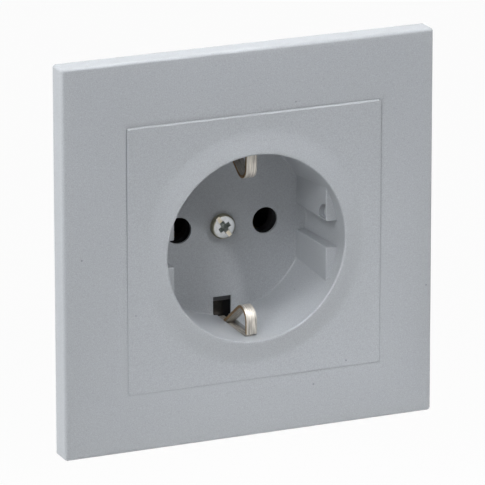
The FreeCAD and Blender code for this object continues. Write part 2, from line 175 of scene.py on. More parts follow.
def apply_all(piece):
    work_on(piece)
    for modifier in list(piece.modifiers):
        bpy.ops.object.modifier_apply(modifier=modifier.name)


def combine(piece, tool, operation):
    modifier = piece.modifiers.new("combine", "BOOLEAN")
    modifier.operation = operation
    modifier.solver = "EXACT"
    modifier.object = tool
    apply_all(piece)
    bpy.data.objects.remove(tool, do_unlink=True)


def smooth(piece, degrees=30):
    work_on(piece)
    bpy.ops.object.shade_smooth_by_angle(angle=math.radians(degrees))


# %% [markdown]
# The cover frame is the moulded square round the plate. Its face swells from the outer edge up
# to the plate, so its four sides meet in soft mitres. A subdivided cube would round the corners
# too much. A cube whose front is inset again and again, each time by a smaller rise, keeps the
# corners square and gives exactly those mitres.

# %% Cover frame: the swelling face
FRAME_HALF, EDGE, FRAME_FACE, OPENING = 40.3, 4.5, 6.58, 27.505
SWELL_STEPS = 10
frame_shell = new_box("frame_shell", (-FRAME_HALF, -EDGE, -FRAME_HALF), (FRAME_HALF, 0, FRAME_HALF))
open_mesh(frame_shell)
pick("FACE", lambda f: f.normal.y < -FACING)
reach, height = FRAME_HALF, EDGE
for i in range(1, SWELL_STEPS + 1):
    share = i / SWELL_STEPS
    next_reach = FRAME_HALF + (OPENING - FRAME_HALF) * share
    next_height = EDGE + (FRAME_FACE - EDGE) * (2 - share) * share
    inset(reach - next_reach, next_height - height)
    reach, height = next_reach, next_height
print("frame_shell swells to", height, "mm at", reach, "mm from the middle")

# %% [markdown]
# A moulding has even walls, so the back is hollow, and a ledge inside the opening carries the
# plate. Both are pushed in from the flat faces that are left, and the two openings are then
# bridged into one.

# %% Cover frame: ledge and hollow back
LEDGE_FRONT, LEDGE_BACK, LEDGE_IN = 3.3, 1.2, 25.5
WALL_IN, LINING, HOLLOW, HOLLOW_RISE = 38.3, 29.45, 2.8, 1.7
push(FRAME_FACE - LEDGE_FRONT)
inset(OPENING - LEDGE_IN)
pick("FACE", lambda f: f.normal.y > FACING and near(deep(f.verts[0]), 0))
inset(FRAME_HALF - WALL_IN)
push(-HOLLOW)
inset(WALL_IN - LINING, -HOLLOW_RISE)
push(HOLLOW + HOLLOW_RISE - LEDGE_BACK)
inset(LINING - LEDGE_IN)
pick("FACE", lambda f: abs(f.normal.y) > FACING and all(out(v) < LEDGE_IN + MARGIN for v in f.verts))
bpy.ops.mesh.delete(type="FACE")
pick("EDGE", lambda e: e.is_boundary)
bpy.ops.mesh.bridge_edge_loops()
face_outwards()
print("frame_shell hollowed, faces:", faces_now())

# %% [markdown]
# Every moulded edge is a little round. The outer edge gets a wide bevel that catches the light,
# the opening small round corners, and the edge at the joint only a trace, or the joint would
# look like a groove.

# %% Cover frame: rounded edges
OUTER_ROUND, CORNER, JOINT_ROUND = 0.65, 0.5, 0.09
pick("EDGE", lambda e: all(out(v) > FRAME_HALF - MARGIN for v in e.verts)
     and any(deep(v) < -MARGIN for v in e.verts))
bevel(OUTER_ROUND, 7)
pick("EDGE", lambda e: all(near(out(v), OPENING) and on_diagonal(v) for v in e.verts)
     and not near(deep(e.verts[0]), deep(e.verts[1])))
bevel(CORNER, 6)
pick("EDGE", lambda e: all(deep(v) < SLACK - FRAME_FACE and out(v) < OPENING + SLACK for v in e.verts))
bevel(JOINT_ROUND, 2)
print("frame_shell rounded, faces:", faces_now())

# %% [markdown]
# A clipped-on frame never sits quite true. Its face leans back a hair at the top and to the
# right, so there the plate stands proud and its edge shines, while below the joint is only a
# faint line. Turning the front of the mesh about the middle of its face does that. The hollow
# behind is left out of the turn: its faces would warp, and Boolean cuts need flat faces.

# %% Cover frame: the lean of its face
LEAN, TURN = 0.004, 0.0022
face_middle = (0, -FRAME_FACE * MM, 0)
pick("VERT", lambda v: deep(v) < OUTER_ROUND + MARGIN - EDGE and not near(out(v), LINING))
bpy.ops.transform.rotate(value=LEAN, orient_axis="X", center_override=face_middle)
bpy.ops.transform.rotate(value=-TURN, orient_axis="Z", center_override=face_middle)
close_mesh()
print("frame_shell leans by", math.degrees(LEAN), "degrees")

# %% [markdown]
# Behind the frame, short ribs stiffen the hollow sides, and a pocket in the middle of each side
# clears the screws of the wall box. They are plain boxes, joined or cut with Boolean modifiers,
# as in a toolmaker's model.

# %% Cover frame: ribs and pockets
RIB_PLACE, RIB_HALF, RIB_IN, RIB_OUT, RIB_FRONT, RIB_BACK = 15.0, 0.5, 29.0, 39.0, -4.4, -1.4
POCKET_HALF, POCKET_REACH, POCKET_FRONT, POCKET_BACK = 4.5, 34.5, -3.1, 1
for side in (-1, 1):
    near_side, far_side = side * RIB_PLACE - RIB_HALF, side * RIB_PLACE + RIB_HALF
    for low, high in ((RIB_IN, RIB_OUT), (-RIB_OUT, -RIB_IN)):
        rib = new_box("rib", (near_side, RIB_FRONT, low), (far_side, RIB_BACK, high))
        combine(frame_shell, rib, "UNION")
        rib = new_box("rib", (low, RIB_FRONT, near_side), (high, RIB_BACK, far_side))
        combine(frame_shell, rib, "UNION")
    low, high = sorted((side * (LEDGE_IN - 1), side * POCKET_REACH))
    pocket = new_box("pocket", (low, POCKET_FRONT, -POCKET_HALF), (high, POCKET_BACK, POCKET_HALF))
    combine(frame_shell, pocket, "DIFFERENCE")
    pocket = new_box("pocket", (-POCKET_HALF, POCKET_FRONT, low), (POCKET_HALF, POCKET_BACK, high))
    combine(frame_shell, pocket, "DIFFERENCE")
smooth(frame_shell)
print("frame_shell finished, faces:", len(frame_shell.data.polygons))

# %% [markdown]
# The centre plate is a square skin with a round well in it. A round hole in a square face is
# awkward to cut cleanly. So the square and the circle are drawn as two outlines with the same
# number of points and bridged, which gives a fan of even faces.

# %% Centre plate: the skin
POINTS = 128
FACE, PLATE_HALF, COLLAR = 6.8, 27.5, 24.8
FACING_FRONT = (math.pi / 2, 0, 0)


def draw_circle(radius, y):
    bpy.ops.mesh.primitive_circle_add(
        vertices=POINTS,
        radius=radius * MM,
        fill_type="NOTHING",
        location=(0, y * MM, 0),
        rotation=FACING_FRONT,
    )


let_go()
draw_circle(COLLAR, -FACE)
plate_shell = bpy.context.object
plate_shell.name = "plate_shell"
settle(plate_shell)
open_mesh(plate_shell)
bpy.ops.mesh.primitive_plane_add(
    size=2 * PLATE_HALF * MM, location=(0, -FACE * MM, 0), rotation=FACING_FRONT
)
bpy.ops.mesh.delete(type="ONLY_FACE")
pick("EDGE", lambda e: all(out(v) > PLATE_HALF - MARGIN for v in e.verts))
bpy.ops.mesh.subdivide(number_cuts=POINTS // 4 - 1)
bpy.ops.mesh.select_all(action="SELECT")
bpy.ops.mesh.bridge_edge_loops()
print("plate_shell skin, faces:", faces_now())

# %% [markdown]
# The plate is a thin shell with a skirt that stands on the frame's ledge. Its open edge is
# pulled back, in and forwards again to give the skirt, then bridged to the outside of the well.
# Pull and shrink together are all that a turned or moulded wall needs.

# %% Centre plate: the skirt and the back of the well
SKIRT_BACK, SKIRT_IN, SKIN_BACK = 3.3, 26.0, 4.8
MOUTH, FLOOR_RADIUS, FLOOR_BACK, WELL_WALL = 19.3, 18.7, 11.7, 1.4


def pull(dx, dy, dz):
    bpy.ops.mesh.extrude_edges_move(
        TRANSFORM_OT_translate={"value": (dx * MM, dy * MM, dz * MM)}
    )


def shrink(factor, y):
    bpy.ops.transform.resize(value=(factor, 1, factor), center_override=(0, y * MM, 0))


pick("EDGE", lambda e: e.is_boundary and all(out(v) > PLATE_HALF - MARGIN for v in e.verts))
pull(0, FACE - SKIRT_BACK, 0)
pull(0, 0, 0)
shrink(SKIRT_IN / PLATE_HALF, -SKIRT_BACK)
pull(0, SKIRT_BACK - SKIN_BACK, 0)
draw_circle(MOUTH + WELL_WALL, -SKIN_BACK)
pick("EDGE", lambda e: all(near(deep(v), -SKIN_BACK) for v in e.verts) and len(e.link_faces) < 2)
bpy.ops.mesh.bridge_edge_loops()
pick("EDGE", lambda e: e.is_boundary and all(near(deep(v), -SKIN_BACK) for v in e.verts))
pull(0, SKIN_BACK + FLOOR_BACK, 0)
shrink((FLOOR_RADIUS + WELL_WALL) / (MOUTH + WELL_WALL), FLOOR_BACK)
bpy.ops.mesh.edge_face_add()
print("plate_shell back, faces:", faces_now())

# %% [markdown]
# In front, the skin rises in a soft collar to the rim of the well, turns over a small lip and
# drops to the floor with a fillet. The curve is worked out as a list of radius and height. The
# circle is then pulled along it ring by ring, as a potter pulls a wall.

# %% Centre plate: collar, rim and well
RIM, LIP, ARCH, COLLAR_STEPS, LIP_STEPS = 7.8, 0.3, 0.85, 12, 6
FLOOR_Y, FOOT_RADIUS, FILLET, FILLET_STEPS = 9.7, 18.72, 0.35, 4


def around(vert):
    # How far a corner lies from the middle, measured round, in millimetres.
    return math.hypot(vert.co.x, vert.co.z) / MM


collar_curve = []
for i in range(1, COLLAR_STEPS + 1):
    share = i / COLLAR_STEPS
    rise = share * share * (3 - 2 * ARCH * share) / (3 - 2 * ARCH)
    collar_curve.append((COLLAR - (COLLAR - MOUTH - LIP) * share, FACE + (RIM - FACE) * rise))
for i in range(LIP_STEPS + 1):
    turn = math.radians(90 * i / LIP_STEPS)
    collar_curve.append((MOUTH + LIP - LIP * math.sin(turn), RIM - LIP + LIP * math.cos(turn)))
for i in range(FILLET_STEPS + 1):
    turn = math.radians(90 * i / FILLET_STEPS)
    drop = FILLET - FILLET * math.sin(turn) - FLOOR_Y
    collar_curve.append((FOOT_RADIUS - FILLET + FILLET * math.cos(turn), drop))
pick("EDGE", lambda e: e.is_boundary and all(near(around(v), COLLAR) for v in e.verts))
radius, height = COLLAR, FACE
for next_radius, next_height in collar_curve:
    pull(0, height - next_height, 0)
    shrink(next_radius / radius, -next_height)
    radius, height = next_radius, next_height
bpy.ops.mesh.edge_face_add()
print("plate_shell well, rings:", len(collar_curve))

# %% [markdown]
# The plate's corners are as round as the frame's opening. Its upper edge stands proud of the
# leaning frame, so it gets a real chamfer, which shows as a bright line. The other edges are
# only broken.

# %% Centre plate: corners and edges
TOP_CHAMFER, EDGE_BREAK, SHARP = 0.3, 0.03, 1.2
bpy.ops.mesh.select_all(action="SELECT")
bpy.ops.mesh.remove_doubles(threshold=0.001 * MM)
bpy.ops.mesh.normals_make_consistent(inside=False)
pick("EDGE", lambda e: all(near(out(v), PLATE_HALF) and on_diagonal(v) for v in e.verts))
bevel(CORNER, 6)
pick("EDGE", lambda e: all(near(deep(v), -FACE) and v.co.z > (PLATE_HALF - SLACK) * MM for v in e.verts))
bevel(TOP_CHAMFER, 1)
pick("EDGE", lambda e: e.calc_face_angle(0) > SHARP
     and all(out(v) > PLATE_HALF - 1 and near(deep(v), -FACE) for v in e.verts))
bevel(EDGE_BREAK, 1)
close_mesh()
print("plate_shell edges, faces:", len(plate_shell.data.polygons))

# %% [markdown]
# The plug is guided by two lugs on each side with a groove between them. A lug is a slice of
# a cylinder: bisecting the cylinder at the chord and at the groove leaves the block, and a small
# bevel softens it. Each copy is mirrored into its quarter and joined to the wall.

# %% Side lugs
LUG_RADIUS, LUG_FRONT, LUG_SINK, CHORD, GROOVE = 19.9, -4.6, 0.8, 16.5, 2.75
LUG_ROUND, LUG_SHARP = 0.22, 0.6


def new_rod(name, radius, y0, y1, x=0.0, z=0.0, sides=64):
    let_go()
    bpy.ops.mesh.primitive_cylinder_add(
        vertices=sides,
        radius=radius * MM,
        depth=(y1 - y0) * MM,
        location=(x * MM, (y0 + y1) / 2 * MM, z * MM),
        rotation=FACING_FRONT,
    )
    piece = bpy.context.object
    piece.name = name
    settle(piece)
    return piece


def keep_beyond(spot, facing):
    bpy.ops.mesh.select_all(action="SELECT")
    bpy.ops.mesh.bisect(plane_co=spot, plane_no=facing, use_fill=True, clear_inner=True)


def new_lug(side_x, side_z):
    lug = new_rod("lug", LUG_RADIUS, LUG_FRONT, FLOOR_Y + LUG_SINK, sides=POINTS)
    open_mesh(lug)
    keep_beyond((CHORD * MM, 0, 0), (1, 0, 0))
    keep_beyond((0, 0, GROOVE * MM), (0, 0, 1))
    pick("EDGE", lambda e: e.calc_face_angle(0) > LUG_SHARP and any(deep(v) < 0 for v in e.verts))
    bevel(LUG_ROUND, 5)
    bpy.ops.mesh.select_all(action="SELECT")
    if side_x < 0 or side_z < 0:
        bpy.ops.transform.resize(value=(side_x, 1, side_z), center_override=(0, 0, 0))
        bpy.ops.mesh.normals_make_consistent(inside=False)
    close_mesh()
    return lug


for side_x in (-1, 1):
    for side_z in (-1, 1):
        combine(plate_shell, new_lug(side_x, side_z), "UNION")
print("plate_shell with lugs, faces:", len(plate_shell.data.polygons))

# %% [markdown]
# Holes come last, as cuts: the two pin holes, the hole for the screw, and the slots for the
# earth clips. A slot is wide in the floor and only as wide as the clip in the wall. A relief
# from behind leaves the floor thin round each hole, as a moulder would.

# %% Holes and slots
SLOT_HALF, WAY_HALF, SLOT_IN, SLOT_OUT, SLOT_BACK, SLOT_STEP = 2.0, 1.27, 14.9, 23.0, 13.0, 0.4
PIN_PLACE, PIN_HOLE, SCREW_HOLE, HOLE_FRONT, HOLE_BACK = 9.5, 2.75, 1.7, 9.0, 12.5
SLOT_RELIEF_HALF, SLOT_RELIEF_FRONT = 3.2, 10.2
PIN_RELIEF, PIN_RELIEF_FRONT = 3.7, 10.3


def cut(tool):
    combine(plate_shell, tool, "DIFFERENCE")


for side in (-1, 1):
    low, high = sorted((side * SLOT_IN, side * SLOT_OUT))
    cut(new_box("slot", (-SLOT_HALF, FLOOR_Y - SLOT_STEP, low), (SLOT_HALF, SLOT_BACK, high)))
    cut(new_box("way", (-WAY_HALF, LUG_FRONT, low), (WAY_HALF, SLOT_BACK, high)))
    relief_low = (-SLOT_RELIEF_HALF, SLOT_RELIEF_FRONT, low)
    cut(new_box("relief", relief_low, (SLOT_RELIEF_HALF, HOLE_BACK, high)))
    cut(new_rod("hole", PIN_HOLE, HOLE_FRONT, HOLE_BACK, x=side * PIN_PLACE))
    cut(new_rod("relief", PIN_RELIEF, PIN_RELIEF_FRONT, HOLE_BACK, x=side * PIN_PLACE))
cut(new_rod("hole", SCREW_HOLE, HOLE_FRONT, HOLE_BACK))
print("plate_shell with holes, faces:", len(plate_shell.data.polygons))

# %% [markdown]
# The right upper lug has a quarter-round dimple in its side. A quarter of a short cylinder,
# left over from two bisecting planes, is the cutter. A narrow lip of the lug stays in front of
# it and beside it.

# %% The dimple
DIMPLE_LIP, DIMPLE_RADIUS, DIMPLE_DEPTH = 0.35, 3.2, 1.2
corner_y, corner_z = (LUG_FRONT + DIMPLE_LIP) * MM, (GROOVE + DIMPLE_LIP) * MM
let_go()
bpy.ops.mesh.primitive_cylinder_add(
    vertices=48,
    radius=DIMPLE_RADIUS * MM,
    depth=2 * DIMPLE_DEPTH * MM,
    location=(CHORD * MM, corner_y, corner_z),
    rotation=(0, math.pi / 2, 0),
)
dimple = bpy.context.object
settle(dimple)
open_mesh(dimple)
keep_beyond((0, corner_y, corner_z), (0, 1, 0))
keep_beyond((0, corner_y, corner_z), (0, 0, 1))
close_mesh()
cut(dimple)
smooth(plate_shell, 22)
print("plate_shell finished, faces:", len(plate_shell.data.polygons))

# %% [markdown]
# Behind each slot a step of the dark insert closes the part of the opening nearest the middle.
# It is a small block whose free edge is rounded, made once and mirrored to the other slot.
# A mirrored copy is inside out, so its normals are worked out again.

# %% Insert steps behind the slots
STEP_HALF, STEP_FRONT, STEP_BACK, STEP_IN, STEP_OUT, STEP_ROUND = 3.1, 10.75, 11.65, 14.95, 16.2, 0.3
slot_step = new_box(
    "slot_step", (-STEP_HALF, STEP_FRONT, -STEP_OUT), (STEP_HALF, STEP_BACK, -STEP_IN)
)
open_mesh(slot_step)
pick("EDGE", lambda e: all(near(v.co.z / MM, -STEP_OUT) and near(deep(v), STEP_FRONT) for v in e.verts))
bevel(STEP_ROUND, 4)
bpy.ops.mesh.select_all(action="SELECT")
bpy.ops.mesh.duplicate()
bpy.ops.transform.resize(value=(1, 1, -1), center_override=(0, 0, 0))
face_outwards()
close_mesh()
smooth(slot_step)
print("slot_step faces:", len(slot_step.data.polygons))

# %% [markdown]
# The earth clips are the ends of one stamped strip. A strip is bent over formers, so its path
# is straight runs with true arcs between them. This function takes the corners of the path,
# each with its bending radius, and rounds them.

# %% The path of a bent strip
def rounded_path(corners, steps=10):
    # Each corner is (y, z, radius), and the two ends need no radius.
    path = [corners[0][:2]]
    for i in range(1, len(corners) - 1):
        before, here, after = (Vector(corner[:2]) for corner in corners[i - 1 : i + 2])
        back, on = (before - here).normalized(), (after - here).normalized()
        half = back.angle(on) / 2
        radius = corners[i][2]
        middle = here + (back + on).normalized() * (radius / math.sin(half))
        start = here + back * (radius / math.tan(half)) - middle
        end = here + on * (radius / math.tan(half)) - middle
        for k in range(steps + 1):
            path.append(tuple(middle + start.slerp(end, k / steps) * radius))
    path.append(corners[-1][:2])
    return path


ARM, BRIDGE_Y = 19.9, 12.3
arm_path = rounded_path([(BRIDGE_Y, -1.0), (BRIDGE_Y, ARM, 1.2), (-3.1, ARM)])
bow_path = rounded_path([(8.4, ARM), (7.4, ARM, 1.0), (-4.75, 11.45, 2.45), (-4.85, 18.75)], steps=16)
print("points along the arm and the bow:", len(arm_path), len(bow_path))

# %% [markdown]
# A single edge as wide as the strip is pulled along the path. Solidify then gives the sheet its
# thickness, and a Bevel modifier breaks the stamped corners. A curve with a flat bevel would
# twist in the bends, and this cannot.

# %% A strip along its path
STRIP_HALF, STRIP, STRIP_BREAK = 1.17, 0.7, 0.12


def soften(piece, name, width, degrees):
    edges = piece.modifiers.new(name, "BEVEL")
    edges.width = width * MM
    edges.segments = 2
    edges.limit_method = "ANGLE"
    edges.angle_limit = math.radians(degrees)


def new_strip(name, path, side_z):
    let_go()
    bpy.ops.mesh.primitive_plane_add(size=2 * STRIP_HALF * MM, location=(0, 0, 0))
    piece = bpy.context.object
    piece.name = name
    open_mesh(piece)
    pick("VERT", lambda v: v.co.y > 0)
    bpy.ops.mesh.delete(type="VERT")
    bpy.ops.mesh.select_all(action="SELECT")
    y, z = path[0]
    bpy.ops.transform.translate(value=(0, y * MM + STRIP_HALF * MM, side_z * z * MM))
    for next_y, next_z in path[1:]:
        pull(0, next_y - y, side_z * (next_z - z))
        y, z = next_y, next_z
    face_outwards()
    close_mesh()
    thickness = piece.modifiers.new("thickness", "SOLIDIFY")
    thickness.thickness = STRIP * MM
    thickness.offset = 0
    thickness.use_even_offset = True
    soften(piece, "corners", STRIP_BREAK, 50)
    apply_all(piece)
    return piece


print("strip:", 2 * STRIP_HALF, "mm wide,", STRIP, "mm thick")

# %% [markdown]
# Each clip is an arm that stands up behind the well and a bow on it that touches the plug. The
# two arms meet in a pad under the floor, with a hole for the centre screw.

# %% Earth bracket with its two clips
PAD_HALF, PAD_THICK_HALF, PAD_HOLE_FRONT, PAD_HOLE_BACK = 5, 0.4, 11.0, 13.5
strips = []
for side in (-1, 1):
    arm = new_strip("arm", arm_path, side)
    combine(arm, new_strip("bow", bow_path, side), "UNION")
    strips.append(arm)
earth_clips = strips[0]
earth_clips.name = "earth_clips"
combine(earth_clips, strips[1], "UNION")
pad_front, pad_back = BRIDGE_Y - PAD_THICK_HALF, BRIDGE_Y + PAD_THICK_HALF
pad = new_box("pad", (-PAD_HALF, pad_front, -PAD_HALF), (PAD_HALF, pad_back, PAD_HALF))
combine(earth_clips, pad, "UNION")
combine(earth_clips, new_rod("hole", SCREW_HOLE, PAD_HOLE_FRONT, PAD_HOLE_BACK), "DIFFERENCE")
smooth(earth_clips, 35)
print("earth_clips faces:", len(earth_clips.data.polygons))

# %% [markdown]
# The centre screw has a low domed head. It is a turned part, so half of its outline is drawn
# corner by corner from a single point and spun round its axis. The seam and the two poles are
# then merged.

# %% Centre screw: the turned body
HEAD_FRONT, HEAD_RADIUS, SHANK, SHANK_BACK, TIP, TIP_BACK = 8.3, 2.58, 1.45, 16.6, 0.95, 17.2
dome = [(0.0, 0.0), (1.4, 0.02), (2.0, 0.07), (2.26, 0.14), (2.42, 0.26), (2.53, 0.44), (HEAD_RADIUS, 0.66)]
outline = [(radius, HEAD_FRONT + drop) for radius, drop in dome]
outline += [(HEAD_RADIUS, FLOOR_Y), (SHANK, FLOOR_Y), (SHANK, SHANK_BACK), (TIP, TIP_BACK), (0.0, TIP_BACK)]
let_go()
bpy.ops.mesh.primitive_plane_add(size=1 * MM, location=(0, 0, 0))
screw = bpy.context.object
screw.name = "centre_screw_domed"
open_mesh(screw)
pick("VERT", lambda v: v.co.x > 0 or v.co.y > 0)
bpy.ops.mesh.delete(type="VERT")
bpy.ops.mesh.select_all(action="SELECT")
bpy.ops.transform.translate(value=(0.5 * MM, HEAD_FRONT * MM + 0.5 * MM, 0))
radius, y = outline[0]
for next_radius, next_y in outline[1:]:
    bpy.ops.mesh.extrude_vertices_move(
        TRANSFORM_OT_translate={"value": ((next_radius - radius) * MM, (next_y - y) * MM, 0)}
    )
    radius, y = next_radius, next_y
bpy.ops.mesh.select_all(action="SELECT")
bpy.ops.mesh.spin(steps=64, angle=2 * math.pi, center=(0, 0, 0), axis=(0, 1, 0))
bpy.ops.mesh.select_all(action="SELECT")
bpy.ops.mesh.remove_doubles(threshold=0.002 * MM)
bpy.ops.mesh.normals_make_consistent(inside=False)
close_mesh()
print("screw body, faces:", len(screw.data.polygons))

# %% [markdown]
# The head takes two kinds of driver: a shallow slot runs right across it, and a cross sits in
# the middle. The cross is cut with bars that taper towards the tip, as the driver does. A fine
# bevel leaves the pressed edges that glint.

# %% Centre screw: slot and cross
SLOT_LENGTH, SLOT_WIDTH, SLOT_DEPTH, SLOT_TURN = 7.0, 0.85, 0.35, math.radians(55)
CROSS_LENGTH, CROSS_WIDTH, CROSS_DEPTH, CROSS_TAPER = 3.1, 1.25, 1.4, 0.45
CROSS_TURN = SLOT_TURN + math.radians(4)
BAR_FRONT, PRESSED_EDGE = 0.5, 0.05


def new_bar(length, width, depth, turn, taper):
    low = (-length / 2, HEAD_FRONT - BAR_FRONT, -width / 2)
    bar = new_box("bar", low, (length / 2, HEAD_FRONT + depth, width / 2))
    open_mesh(bar)
    pick("FACE", lambda f: f.normal.y > FACING)
    bpy.ops.transform.resize(value=(taper, 1, taper))
    close_mesh()
    bar.rotation_euler = (0, turn, 0)
    settle(bar)
    return bar


combine(screw, new_bar(SLOT_LENGTH, SLOT_WIDTH, SLOT_DEPTH, SLOT_TURN, 1.0), "DIFFERENCE")
for turn in (CROSS_TURN, CROSS_TURN + math.radians(90)):
    bar = new_bar(CROSS_LENGTH, CROSS_WIDTH, CROSS_DEPTH, turn, CROSS_TAPER)
    combine(screw, bar, "DIFFERENCE")
soften(screw, "edges", PRESSED_EDGE, 40)
apply_all(screw)
smooth(screw, 35)
print("screw finished, faces:", len(screw.data.polygons))

# %% [markdown]
# Now the finishes. Effects that several materials share are built once as node groups, with
# named inputs, and each material sets its own amounts. Placing and joining nodes takes many
# lines by hand, so a small class keeps the recipes readable.

# %% Place and join nodes
class Wiring:
    def __init__(self, tree):
        self.tree = tree

    def node(self, kind, **values):
        made = self.tree.nodes.new(kind)
        for key, value in values.items():
            made.inputs[key].default_value = value
        return made

    def join(self, a, b):
        self.tree.links.new(a, b)

    def feed(self, socket, value):
        if isinstance(value, (int, float, tuple)):
            socket.default_value = value
        else:
            self.join(value, socket)

    def maths(self, operation, a, b, clamp=False):
        made = self.node("ShaderNodeMath")
        made.operation = operation
        made.use_clamp = clamp
        self.feed(made.inputs[0], a)
        self.feed(made.inputs[1], b)
        return made.outputs[0]

    def blend(self, factor, a, b, blend_type="MIX"):
        made = self.node("ShaderNodeMix")
        made.data_type = "RGBA"
        made.blend_type = blend_type
        for place, value in ((0, factor), (6, a), (7, b)):
            self.feed(made.inputs[place], value)
        return made.outputs[2]


def new_group(name, inputs):
    group = bpy.data.node_groups.new(name, "ShaderNodeTree")
    group.interface.new_socket("Place", in_out="INPUT", socket_type="NodeSocketVector")
    for socket_name, value in inputs.items():
        kind = "NodeSocketColor" if isinstance(value, tuple) else "NodeSocketFloat"
        socket = group.interface.new_socket(socket_name, in_out="INPUT", socket_type=kind)
        socket.default_value = value
    group.interface.new_socket("Color", in_out="OUTPUT", socket_type="NodeSocketColor")
    for socket_name in ("Roughness", "Height"):
        group.interface.new_socket(socket_name, in_out="OUTPUT", socket_type="NodeSocketFloat")
    return group


print("node groups so far:", len(bpy.data.node_groups))

# %% [markdown]
# A moulded grey plastic is never one flat grey. The mould leaves a fine eroded texture, the tone
# drifts slowly, and a few dark specks lie in it. Noise at two scales and a cell pattern give
# these, on Object coordinates, so that they stay at real size on every piece.

# %% Node group: moulded plastic
SPECK_REACH, SPECK_EDGE, SPECK_SHARE, SPECK_TONE = 0.036, 60.0, 0.5, (0.08, 0.08, 0.09, 1)
GRAIN_ON_GLOSS = 0.4
moulded = new_group(
    "moulded_plastic",
    {"Tone": (0.4, 0.4, 0.4, 1), "Grain": 0.06, "Drift": 0.05, "Specks": 1.0, "Gloss": 0.45},
)
w = Wiring(moulded)
given = w.node("NodeGroupInput").outputs
made = w.node("NodeGroupOutput").inputs
fine = w.node("ShaderNodeTexNoise", Scale=5200.0, Detail=1.0, Roughness=0.6)
slow = w.node("ShaderNodeTexNoise", Scale=45.0, Detail=2.0, Roughness=0.5)
cells = w.node("ShaderNodeTexVoronoi", Scale=140.0)
for texture in (fine, slow, cells):
    w.join(given["Place"], texture.inputs["Vector"])
fine_lift = w.maths("MULTIPLY", w.maths("SUBTRACT", fine.outputs["Fac"], 0.5), given["Grain"])
slow_lift = w.maths("MULTIPLY", w.maths("SUBTRACT", slow.outputs["Fac"], 0.5), given["Drift"])
lift = w.maths("ADD", w.maths("ADD", fine_lift, slow_lift), 1.0)
lift_colour = w.node("ShaderNodeCombineColor")
for socket in lift_colour.inputs:
    w.join(lift, socket)
toned = w.blend(1.0, given["Tone"], lift_colour.outputs[0], "MULTIPLY")
inside = w.maths("SUBTRACT", SPECK_REACH, cells.outputs["Distance"])
spot = w.maths("MULTIPLY", inside, SPECK_EDGE, clamp=True)
speck = w.maths("MULTIPLY", w.maths("MULTIPLY", spot, given["Specks"]), SPECK_SHARE)
w.join(w.blend(speck, toned, SPECK_TONE), made["Color"])
w.join(w.maths("ADD", given["Gloss"], w.maths("MULTIPLY", fine_lift, GRAIN_ON_GLOSS)), made["Roughness"])
w.join(fine.outputs["Fac"], made["Height"])
print("moulded_plastic nodes:", len(moulded.nodes))

# %% [markdown]
# A material holds the group and the shader. The group's colour and roughness go straight to the
# shader, and its height goes through a Bump node. The pattern can be stretched by a Mapping
# node, which the metals below need.

# %% A material around a group, and the plastics
RELIEF, PLASTIC_IOR = 0.02, 1.46


def shader_of(material):
    return material.node_tree.nodes["Principled BSDF"]


def group_material(name, group, values, bump, stretch=None):
    material = bpy.data.materials.new(name)
    material.use_nodes = True
    tree = Wiring(material.node_tree)
    shader = shader_of(material)
    effect = tree.node("ShaderNodeGroup")
    effect.node_tree = group
    for socket_name, value in values.items():
        effect.inputs[socket_name].default_value = value
    place = tree.node("ShaderNodeTexCoord").outputs["Object"]
    if stretch:
        mapping = tree.node("ShaderNodeMapping", Scale=stretch)
        tree.join(place, mapping.inputs["Vector"])
        place = mapping.outputs["Vector"]
    tree.join(place, effect.inputs["Place"])
    relief = tree.node("ShaderNodeBump", Strength=bump, Distance=RELIEF * MM)
    tree.join(effect.outputs["Color"], shader.inputs["Base Color"])
    tree.join(effect.outputs["Roughness"], shader.inputs["Roughness"])
    tree.join(effect.outputs["Height"], relief.inputs["Height"])
    tree.join(relief.outputs["Normal"], shader.inputs["Normal"])
    return material


def plastic(name, tone, grain, drift, specks, gloss, bump):
    values = {"Tone": tone, "Grain": grain, "Drift": drift, "Specks": specks, "Gloss": gloss}
    material = group_material(name, moulded, values, bump)
    shader_of(material).inputs["IOR"].default_value = PLASTIC_IOR
    return material


grey_plastic = plastic("grey_moulding", (0.345, 0.363, 0.385, 1), 0.5, 0.05, 1.0, 0.42, 0.35)
dark_plastic = plastic("dark_moulding", (0.022, 0.022, 0.025, 1), 0.5, 0.25, 0.0, 0.5, 0.5)
step_plastic = plastic("step_moulding", (0.085, 0.087, 0.093, 1), 0.3, 0.1, 0.0, 0.5, 0.4)
lever_plastic = plastic("orange_moulding", (0.72, 0.21, 0.02, 1), 0.1, 0.08, 0.0, 0.38, 0.3)
print("materials so far:", len(bpy.data.materials))

# %% [markdown]
# Metals are drawn, rolled or plated, which leaves fine lines or small patches of brighter and
# duller metal. One noise, stretched along the piece, makes both. Where the lines are dull the
# metal is also rougher.

# %% Node group: drawn metal
LINE_SHARE, DULL_BELOW, CONTRAST, EVEN = 0.65, 0.36, 3.4, 0.6
drawn = new_group(
    "drawn_metal",
    {"Bright": (0.8, 0.8, 0.8, 1), "Dull": (0.5, 0.5, 0.5, 1), "Gloss": 0.25, "Spread": 0.2},
)
w = Wiring(drawn)
given = w.node("NodeGroupInput").outputs
made = w.node("NodeGroupOutput").inputs
lines = w.node("ShaderNodeTexNoise", Scale=1.0, Detail=4.0, Roughness=0.65)
patches = w.node("ShaderNodeTexNoise", Scale=0.35, Detail=2.0)
for texture in (lines, patches):
    w.join(given["Place"], texture.inputs["Vector"])
line_part = w.maths("MULTIPLY", lines.outputs["Fac"], LINE_SHARE)
patch_part = w.maths("MULTIPLY", patches.outputs["Fac"], 1 - LINE_SHARE)
mixed = w.maths("ADD", line_part, patch_part)
bright_share = w.maths("MULTIPLY", w.maths("SUBTRACT", mixed, DULL_BELOW), CONTRAST, clamp=True)
w.join(w.blend(bright_share, given["Dull"], given["Bright"]), made["Color"])
spread = w.maths("MULTIPLY", w.maths("SUBTRACT", EVEN, mixed), given["Spread"])
